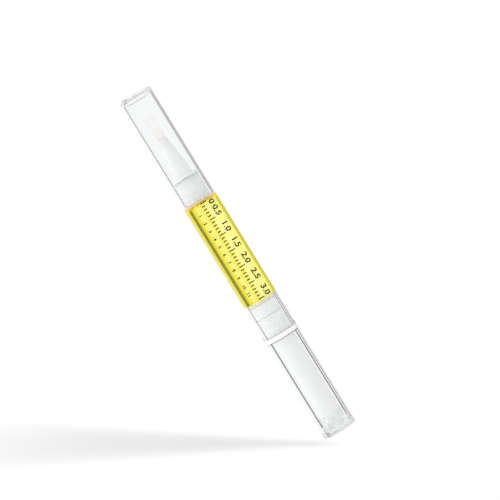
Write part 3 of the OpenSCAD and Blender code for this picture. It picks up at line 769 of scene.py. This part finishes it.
def piston_shape(f, waist_r, boss_r):
    """Piston: a lip on the bore, a waist, the seal's boss, and a socket for the screw's button."""
    lip_r, _, z1 = extent("piston")
    z0 = extent("guide_sleeve")[2] + 0.02 * MM
    skirt_r, mouth_r, socket_r = mm(3.61, 1.4, 1.85)
    lip_z, shelf_z, roof_z = z0 + 1.2 * MM, extent("piston_cup")[1] - 0.05 * MM, z1 - 1.97 * MM
    socket_z0, socket_z1 = z1 - 1.52 * MM, z1 - 0.42 * MM
    return turned([
        (0.0, z1), (boss_r, z1), (boss_r, shelf_z), (waist_r, shelf_z), (waist_r, lip_z + f.waist_depth),
        (lip_r, lip_z), (lip_r, z0), (skirt_r, z0), (skirt_r, roof_z), (mouth_r, roof_z),
        (mouth_r, socket_z0), (socket_r, socket_z0), (socket_r, socket_z1), (0.0, socket_z1)],
        [(lip_r, lip_z, f.piston_edge), (lip_r, z0, FINE_EDGE)])


def seal_shape(r, waist_r, boss_r):
    """Soft cup over the piston's boss, with two lips on the bore."""
    z0, z1 = extent("piston_cup")[1:]
    roof_z = extent("piston")[2]
    face_r, hollow_r, valley_r = r * 0.92, boss_r + 0.05 * MM, r * 0.96
    quarter, middle = (z1 - z0) / 4, (z0 + z1) / 2
    return turned([
        (0.0, z1), (face_r, z1), (r, z1 - quarter), (valley_r, middle), (r, z0 + quarter),
        (waist_r, z0), (hollow_r, z0), (hollow_r, roof_z), (0.0, roof_z)],
        [(r, z1 - quarter, SOFT_EDGE), (r, z0 + quarter, SOFT_EDGE)])


def screw_shape(f):
    """Two-start screw: a core, two ribs wound round it, the winged foot and the snap button."""
    z0, z1 = extent("screw_rod")[1:]
    crest_r, neck_r, button_r = mm(2.1, 1.2, 1.75)
    root_r = crest_r - f.thread_h
    foot_z, thread_z = z0 + 2 * MM, z1 - 1.55 * MM
    slope_z, button_z, lead_z = z1 - 0.3 * MM, z1 - 0.9 * MM, thread_z - 0.25 * MM
    shapes = [turned([
        (0.0, z1), (neck_r, z1), (button_r, slope_z), (button_r, button_z), (neck_r, button_z),
        (neck_r, thread_z), (root_r, lead_z), (root_r, foot_z), (crest_r, foot_z), (crest_r, z0),
        (0.0, z0)], [(crest_r, z0, SOFT_EDGE)], segments=96)]
    # A rib's edge and base, to each side of its middle, and its foot inside the core.
    edge, base, sunk_r = f.thread_pitch / 6, f.thread_pitch / 3, root_r * 0.95
    middle = foot_z + f.thread_pitch / 2
    lead, steps = 2 * f.thread_pitch, 48
    turns = (thread_z - foot_z - f.thread_pitch) / lead
    for start in SIDES:
        rib = bmesh.new()
        points = [rib.verts.new((r, 0.0, z)) for r, z in (
            (sunk_r, middle - base), (crest_r, middle - edge), (crest_r, middle + edge),
            (sunk_r, middle + base))]
        edges = [rib.edges.new(pair) for pair in zip(points, points[1:] + points[:1])]
        bmesh.ops.spin(rib, geom=points + edges, axis=(0, 0, 1), dvec=(0, 0, lead / steps),
            angle=math.tau * turns, steps=round(steps * turns))
        bmesh.ops.holes_fill(rib, edges=[e for e in rib.edges if e.is_boundary], sides=4)
        bmesh.ops.recalc_face_normals(rib, faces=rib.faces)
        bmesh.ops.rotate(rib, verts=rib.verts, matrix=Matrix.Rotation(start, 3, "Z"))
        shapes.append(rib)
    wing_r, half_w, inset = mm(2.75, 0.75, 0.01)
    shapes.append(block((-wing_r, -half_w, z0 + inset), (wing_r, half_w, foot_z - inset)))
    return joined(*shapes)


def guide_shape(bore):
    """Sleeve in the barrel's foot: bearing, snap groove, toothed click chamber, web, nut pocket."""
    z0, z1 = extent("guide_sleeve")[1:]
    r, bearing_r, groove_r, web_r = bore - 0.05 * MM, 4.0 * MM, 4.4 * MM, 3.05 * MM
    groove_z0, click_z, web_z = z0 + 2.28 * MM, z0 + 4.1 * MM, z0 + 6.1 * MM
    groove_z1 = groove_z0 + 0.8 * MM
    sleeve = turned([
        (bearing_r, z0), (r, z0), (r, z1), (web_r, z1), (web_r, click_z), (bearing_r, click_z),
        (bearing_r, groove_z1), (groove_r, groove_z1), (groove_r, groove_z0), (bearing_r, groove_z0)],
        [(r, z1, FINE_EDGE), (r, z0, SOFT_EDGE)])
    pocket_r, pocket_h, web_h = mm(4.15, 3, 0.6)
    sleeve = carve(sleeve, prism(6, pocket_r, pocket_r, pocket_h, web_z + web_h + pocket_h / 2))
    # Each tooth of the chamber slopes in over most of its width and falls back over the rest.
    clicks, points, tooth_r, tooth_h, slope_share = 12, 5, 4.5, 0.4, 0.9
    tooth = math.tau / clicks
    chamber = prism(clicks * points, 1.0, 1.0, web_z - click_z, (web_z + click_z) / 2)
    for vertex in chamber.verts:
        share = math.atan2(vertex.co.y, vertex.co.x) % tooth / tooth
        vertex.co.xy = vertex.co.xy * (tooth_r - tooth_h * min(1.0, share / slope_share)) * MM
    sleeve = carve(sleeve, chamber)
    barrel_z0 = extent("barrel")[1]
    lug_r, half_w, lug_h, sunk = mm(5.65, 0.7, 1.3, 0.3)
    low, high = (r - sunk, -half_w, barrel_z0), (lug_r, half_w, barrel_z0 + lug_h)
    return carve_boxes(sleeve, low, high, SIDES, "UNION")


class OILPEN_OT_knob(bpy.types.Operator):
    """Makes the band, the clear knob, its white drive tube and the end plug"""
    bl_idname = "oilpen.knob"
    bl_label = "Knob"

    def execute(self, context):
        s, n, k = context.scene.oilpen_shell, context.scene.oilpen_nozzle, context.scene.oilpen_knob
        make_band(k)
        make_sleeve(s, k)
        make_drive(n, k)
        make_plug(s, k)
        return {"FINISHED"}


def make_band(k):
    """White band between barrel and knob."""
    r, z0, z1 = extent("mid_ring")
    inner = r - 1.0 * MM
    shape = turned([(inner, z0), (r, z0), (r, z1), (inner, z1)],
        [(r, z0, k.band_edge), (r, z1, k.band_edge)])
    gloss = white_moulding("glossy white styrene", k.band_colour, roughness=0.12, glow=0.15, bump_mm=0.001)
    piece("band", shape, [gloss], "barrel", ["mid_ring"])


def make_sleeve(s, k):
    """Clear sleeve of the knob, with a bump for each of the end plug's windows."""
    r, z0, z1 = extent("knob_sleeve")
    bore = r - k.knob_wall
    shape = turned([(bore, z0), (r, z0), (r, z1), (bore, z1)],
        [(r, z1, k.knob_edge), (r, z0, FINE_EDGE), (bore, z1, SOFT_EDGE)])
    stands, side_gap, end_gap = mm(0.3, 0.1, 0.15)
    half_w = k.window_w / 2 - side_gap
    low, high = (bore - stands, -half_w, z0 + end_gap), (bore + stands, half_w, z0 + k.window_h - end_gap)
    shape = carve_boxes(shape, low, high, CORNERS, "UNION")
    mark_inside(shape)
    # The rounded rim bends light away from the eye. The dark line that this gives under the band is painted
    # into the rim's colour.
    paint(shape, 2, low=z1 - k.knob_edge)
    # The knob's inner wall carries a darker painted line, which starts at a squarer turn.
    inner = clear_styrene("crystal styrene, knob's inner wall", s.clear_colour, k.edge_colour,
        line_start=0.192)
    rim = clear_styrene("crystal styrene, knob's rim, painted dark line", k.rim_colour)
    piece("knob_shell", shape, [clear_outside(s), inner, rim], "knob", ["knob_sleeve"])


def make_drive(n, k):
    """White tube with a snap rib, the slots for the screw's wings and the plug's keys, and flats."""
    z0, z1 = extent("drive_tube")[1:]
    r, rib_r, journal_r, foot_edge = mm(3.9, 4.2, 3.3, 0.15)
    rib_z0, step_z = z1 - 3.62 * MM, z1 - 2.0 * MM
    rib_z1 = rib_z0 + 0.6 * MM
    shape = turned([
        (k.bore_r, z0), (r, z0), (r, rib_z0), (rib_r, rib_z0), (rib_r, rib_z1), (r, rib_z1),
        (r, step_z), (journal_r, step_z), (journal_r, z1), (k.bore_r, z1)],
        [(rib_r, rib_z0, SOFT_EDGE), (rib_r, rib_z1, SOFT_EDGE), (r, z0, foot_edge)])
    past, wide, wing_r, wing_w, key_w = mm(1, 5, 2.85, 0.85, 0.68)
    key_gap, flat_y = mm(0.05, 3.0)
    shape = carve(shape, block((-wing_r, -wing_w, z0 - past), (wing_r, wing_w, z1 + past)))
    shape = carve(shape, block((-key_w, -wide, z0 - past), (key_w, wide, z0 + k.key_h + key_gap)))
    shape = carve_boxes(shape, (-wide, flat_y, step_z), (wide, wide, z1 + past), SIDES)
    piece("drive_core", shape, [white_parts(n)], "knob", ["drive_tube"])


def make_plug(s, k):
    """Clear end plug: disc, moulding mark, ring with snap windows, and two keys."""
    r, z0, z1 = extent("tail_plug")
    ring_r, ring_in_r, ring_edge = k.plug_ring_r, k.plug_ring_in_r, 0.12 * MM
    top = z0 + k.plug_h
    mark_z = top + s.gate_h
    shape = turned([
        (0.0, mark_z), (s.gate_r, mark_z), (s.gate_r, top), (ring_in_r, top), (ring_in_r, z1),
        (ring_r, z1), (ring_r, top), (r, top), (r, z0), (0.0, z0)],
        [(r, z0, k.plug_edge), (ring_r, z1, ring_edge), (ring_in_r, z1, ring_edge)])
    past, half_w = 0.5 * MM, k.window_w / 2
    low, high = (ring_in_r - past, -half_w, top), (ring_r + past, half_w, top + k.window_h)
    shape = carve_boxes(shape, low, high, CORNERS)
    key_r0, key_r1, key_w, sunk = mm(2.55, 4.52, 0.63, 0.3)
    low, high = (key_r0, -key_w, top - sunk), (key_r1, key_w, extent("drive_tube")[1] + k.key_h)
    shape = carve_boxes(shape, low, high, (math.pi / 2, 3 * math.pi / 2), "UNION")
    paint(shape, 1, low=top - WELD)
    plain = clear_styrene("crystal styrene, under the knob", s.clear_colour)
    # A greyer tint darkens the disc as painted shade. Its haze is the table's scuffing.
    disc = clear_styrene("crystal styrene, scuffed by the table, painted shade", k.disc_colour, outside=True, most_haze=0.6)
    piece("end_plug", shape, [disc, plain], "knob", ["tail_plug"])


class OILPEN_OT_marks(bpy.types.Operator):
    """Prints plain graduation marks and numbers along the barrel"""
    bl_idname = "oilpen.marks"
    bl_label = "Marks"

    def execute(self, context):
        m = context.scene.oilpen_marks
        full = extent("oil_fill")[2] + 0.05 * MM
        # The rows run along the barrel, at these arc lengths from the middle of its front.
        large, lines, small = mm(2.6, -0.3, -2.85)
        zero_at, figure_w, short_share, rise_mm = 0.2 * MM, 3.7 * MM, 0.55, 3
        shapes = [flat_text("0", m.figure_h, m.stroke_w, zero_at, large)]
        for half in range(1, 7):
            place = half * m.volume_step - figure_w
            shapes.append(flat_text(f"{half / 2:.1f}", m.figure_h, m.stroke_w, place, large))
        for tenth in range(31):
            tall = m.figure_h * (short_share if tenth % 5 else 1)
            shapes.append(flat_bar(tenth * m.volume_step / 5, lines + tall / 2, m.line_w, tall))
        for turn in range(1, 12):
            shapes.append(flat_text(str(turn), m.small_h, m.stroke_w / 2, turn * rise_mm * MM, small))
        flat = joined(*shapes)
        # The print is cut into narrow strips, so that it can be bent round the barrel.
        rows = [vertex.co.y for vertex in flat.verts]
        cut, last, strip_w = min(rows), max(rows), 0.2 * MM
        while cut < last:
            cut_across(flat, (0, cut, 0), (0, 1, 0))
            cut += strip_w
        r = extent("barrel")[0] + m.film
        for vertex in flat.verts:
            along, across = vertex.co.x, vertex.co.y
            angle = across / r
            vertex.co = (r * math.sin(angle), -r * math.cos(angle), full - along)
        bmesh.ops.recalc_face_normals(flat, faces=flat.faces)
        ink = printed_ink("pad-printing ink", m.ink_colour)
        piece("graduation_marks", flat, [ink], "barrel")
        return {"FINISHED"}


def flat_text(words, height, weight, along, across):
    """Figures laid flat: their left edge at along, their foot at across."""
    # A figure of Blender's font is this share of the font's size high.
    figure_share = 0.7
    curve = bpy.data.curves.new("figure", "FONT")
    curve.body, curve.size, curve.resolution_u, curve.offset = words, height / figure_share, 3, weight
    shape = finished_shape(placed("figure", curve))
    bmesh.ops.translate(shape, verts=shape.verts, vec=(along, across, 0))
    bpy.data.curves.remove(curve)
    return shape


def flat_bar(along, across, width, height):
    """One graduation line, centred at a place."""
    shape = bmesh.new()
    place = Matrix.Translation((along, across, 0)) @ Matrix.Diagonal((width, height, 1, 1))
    bmesh.ops.create_grid(shape, x_segments=1, y_segments=8, size=0.5, matrix=place)
    return shape


class OILPEN_OT_stage(bpy.types.Operator):
    """Sets the pale floor, the soft light and the camera of the product picture"""
    bl_idname = "oilpen.stage"
    bl_label = "Stage"

    def execute(self, context):
        st = context.scene.oilpen_stage
        light_world(context.scene)
        make_lamp(make_floor(st), st)
        make_camera(context.scene, st)
        context.scene.view_settings.view_transform = "Standard"
        return {"FINISHED"}


def make_floor(st):
    """A white floor under the pen, level in the leaning picture. Only its upper side shows."""
    shape = bmesh.new()
    bmesh.ops.create_circle(shape, cap_ends=True, segments=64, radius=st.floor_r)
    bmesh.ops.recalc_face_normals(shape, faces=shape.faces)
    level = Matrix.Rotation(st.lean, 4, "Y")
    centre = MIDDLE + Vector((st.aim_x, 0, st.aim_z)) + level @ Vector((0, 0, -st.floor_drop))
    bmesh.ops.transform(shape, verts=shape.verts, matrix=Matrix.Translation(centre) @ level)
    floor = to_object("floor", shape)
    floor.data.materials.append(sweep_paper(level @ Vector((1, 0, 0))))
    floor.visible_diffuse = floor.visible_glossy = floor.visible_transmission = False
    floor.visible_shadow = False
    return floor


def sweep_paper(right):
    """Matt white paper that the lamp lights. Towards the pen's tail a painted glow washes the lamp's shadow
    out. Far behind the pen it glows as the backdrop does, so that no line shows."""
    made, tree = empty_material("white sweep")
    matt = add(tree, "BsdfDiffuse", ((0.1, 0.1, 0.1, 1.0),))
    glow = add(tree, "Emission", (WHITE, 1.02))
    place = add(tree, "TexCoord").outputs["Object"]
    along = add(tree, "VectorMath", (place, right), operation="DOT_PRODUCT")
    # Towards the pen's tail a white glow is mixed in as painted light, so that the lamp's shadow fades out
    # there.
    fade_x0, fade_x1, far_y0, far_y1 = -0.1, 0.03, 0.1, 0.25
    reach = add(tree, "MapRange", (along.outputs["Value"], fade_x0, fade_x1))
    fade = add(tree, "ValToRGB", (reach,), greys([
        (0.15, 0.0), (0.38, 0.29), (0.6, 0.7), (0.75, 0.89), (0.86, 0.97), (0.95, 1.0)]))
    depth = add(tree, "SeparateXYZ", (place,)).outputs["Y"]
    away = add(tree, "Math", (depth,), operation="ABSOLUTE")
    far = add(tree, "MapRange", (away, far_y0, far_y1))
    share = add(tree, "Math", (fade, far), operation="MAXIMUM")
    upper = add(tree, "MixShader", (share, matt, glow))
    under = add(tree, "NewGeometry").outputs["Backfacing"]
    unseen = add(tree, "BsdfTransparent")
    add(tree, "OutputMaterial", (add(tree, "MixShader", (under, upper, unseen)),))
    return made


def light_world(scene):
    """White behind the pen for the camera, gloss and clear plastic. Light comes from all round, more
    of it from the left, as from a large soft box."""
    world = bpy.data.worlds.new("studio")
    scene.world = world
    world.use_nodes = True
    tree = world.node_tree
    tree.nodes.clear()
    right, back, up = add(tree, "SeparateXYZ", (add(tree, "TexCoord").outputs["Generated"],)).outputs
    side = add(tree, "MapRange", (right, -1.0, 1.0))
    soft_box = add(tree, "ValToRGB", (side,), greys([(0.0, 0.74), (0.35, 0.52), (1.0, 0.48)]))
    light = add(tree, "Background", (soft_box, 2.0))
    turn = add(tree, "Math", (right, back), operation="ARCTAN2")
    round_share = add(tree, "MapRange", (turn, -math.pi, math.pi))
    # What clear plastic and oil show: a white sheet behind the pen, a dark card at its right edge
    # and the dimmer room at its left.
    sheet = add(tree, "ValToRGB", (round_share,), by_turn([
        (-100, 1.0), (-90, 0.92), (-45, 0.86), (-34, 1.0), (25, 1.0), (29, 0.22), (38, 0.22), (42, 1.0)]))
    # The sheet is only so high: an edge that bends the view up shows dimmer.
    sheet_z, above_z, above_level = 0.5, 0.75, 0.2
    reach = add(tree, "MapRange", (up, sheet_z, above_z, 1.0, above_level))
    backdrop = add(tree, "Background", (sheet, reach))
    # What gloss shows: the white sheet, the dim room, and two low soft boxes at the front.
    room = add(tree, "ValToRGB", (round_share,), by_turn([
        (-180, 0.2), (-115, 0.0), (-82, 0.0), (-74, 1.0), (16, 1.0), (28, 0.15), (180, 0.2)]))
    boxes = add(tree, "ValToRGB", (round_share,), by_turn([
        (-180, 0.29), (-167, 0.36), (-155, 0.56), (-145, 0.7), (-138, 0.6), (-128, 0.33), (-118, 0.15),
        (-108, 0.0), (62, 0.0), (70, 0.25), (80, 0.5), (105, 0.6), (125, 0.75), (150, 0.9), (160, 0.8),
        (167, 0.5), (180, 0.29)]))
    box_z, box_core, box_edge, box_power = 0.007, 0.042, 0.047, 8.0
    above = add(tree, "Math", (up, box_z), operation="SUBTRACT")
    height = add(tree, "Math", (above,), operation="ABSOLUTE")
    low = add(tree, "MapRange", (height, box_core, box_edge, box_power, 0.0))
    power = add(tree, "Math", (boxes, low, room), operation="MULTIPLY_ADD")
    shine = add(tree, "Background", (WHITE, power))
    white = add(tree, "Background", (WHITE, 1.0))
    pale = add(tree, "Background", (WHITE, 0.8))
    path = add(tree, "LightPath").outputs
    shown = light
    # A ray through glass counts as glossy too, so what it shows is mixed in after the gloss. One
    # that the clear walls let go ends on a pale tone.
    for ray, seen in (
            (path["Is Glossy Ray"], shine), (path["Is Transmission Ray"], backdrop), (let_go(tree), pale),
            (path["Is Camera Ray"], white)):
        shown = add(tree, "MixShader", (ray, shown, seen))
    add(tree, "OutputWorld", (shown,))


def make_lamp(floor, st):
    """A soft lamp at the upper right that reaches the floor alone, for the pen's shadow."""
    lamp = bpy.data.lights.new("shadow lamp", "SUN")
    lamp.energy, lamp.angle = 36.4, math.radians(54)
    holder = placed("shadow lamp", lamp)
    fall = Matrix.Rotation(st.lean, 3, "Y") @ Vector((-0.65, 0.0, -0.87))
    holder.rotation_euler = fall.to_track_quat("-Z", "Y").to_euler()
    lit = bpy.data.collections.new("lit by the shadow lamp")
    lit.objects.link(floor)
    holder.light_linking.receiver_collection = lit


def make_camera(scene, st):
    """The photo's side view, rolled so that the upright pen leans in the picture."""
    data = bpy.data.cameras.new("camera")
    data.sensor_width = 36.0
    data.lens = data.sensor_width * st.distance / st.view_w
    data.clip_start, data.clip_end = 0.01, 20.0
    camera = placed("camera", data)
    camera.matrix_world = (
        Matrix.Translation((st.aim_x, MIDDLE.y - st.distance, MIDDLE.z + st.aim_z))
        @ Matrix.Rotation(st.lean, 4, "Y") @ Matrix.Rotation(math.pi / 2, 4, "X"))
    scene.camera = camera


class OILPEN_PT_panel(bpy.types.Panel):
    """Lists the pen's pieces and sizes"""
    bl_idname = "OILPEN_PT_panel"
    bl_label = "Nail oil pen"
    bl_space_type = "VIEW_3D"
    bl_region_type = "UI"
    bl_category = "Oil Pen"

    def draw(self, context):
        for operator in OPERATORS:
            self.layout.operator(operator.bl_idname)
        for name, group in SETTINGS.items():
            box = self.layout.box()
            box.label(text=group.__doc__)
            for key in group.__annotations__:
                box.prop(getattr(context.scene, name), key)


OPERATORS = [
    OILPEN_OT_stage, OILPEN_OT_cap, OILPEN_OT_barrel, OILPEN_OT_oil, OILPEN_OT_nozzle, OILPEN_OT_bristles,
    OILPEN_OT_feed, OILPEN_OT_knob, OILPEN_OT_marks]
CLASSES = [*SETTINGS.values(), *OPERATORS, OILPEN_PT_panel]


def register():
    for group in CLASSES:
        bpy.utils.register_class(group)
    for name, group in SETTINGS.items():
        setattr(bpy.types.Scene, name, PointerProperty(type=group))


def unregister():
    for name in SETTINGS:
        delattr(bpy.types.Scene, name)
    for group in reversed(CLASSES):
        bpy.utils.unregister_class(group)


def main():
    register()
    bpy.ops.oilpen.stage()
    bpy.ops.oilpen.cap()
    bpy.ops.oilpen.barrel()
    bpy.ops.oilpen.oil()
    bpy.ops.oilpen.nozzle()
    bpy.ops.oilpen.bristles()
    bpy.ops.oilpen.feed()
    bpy.ops.oilpen.knob()
    bpy.ops.oilpen.marks()


if __name__ == "__main__":
    main()
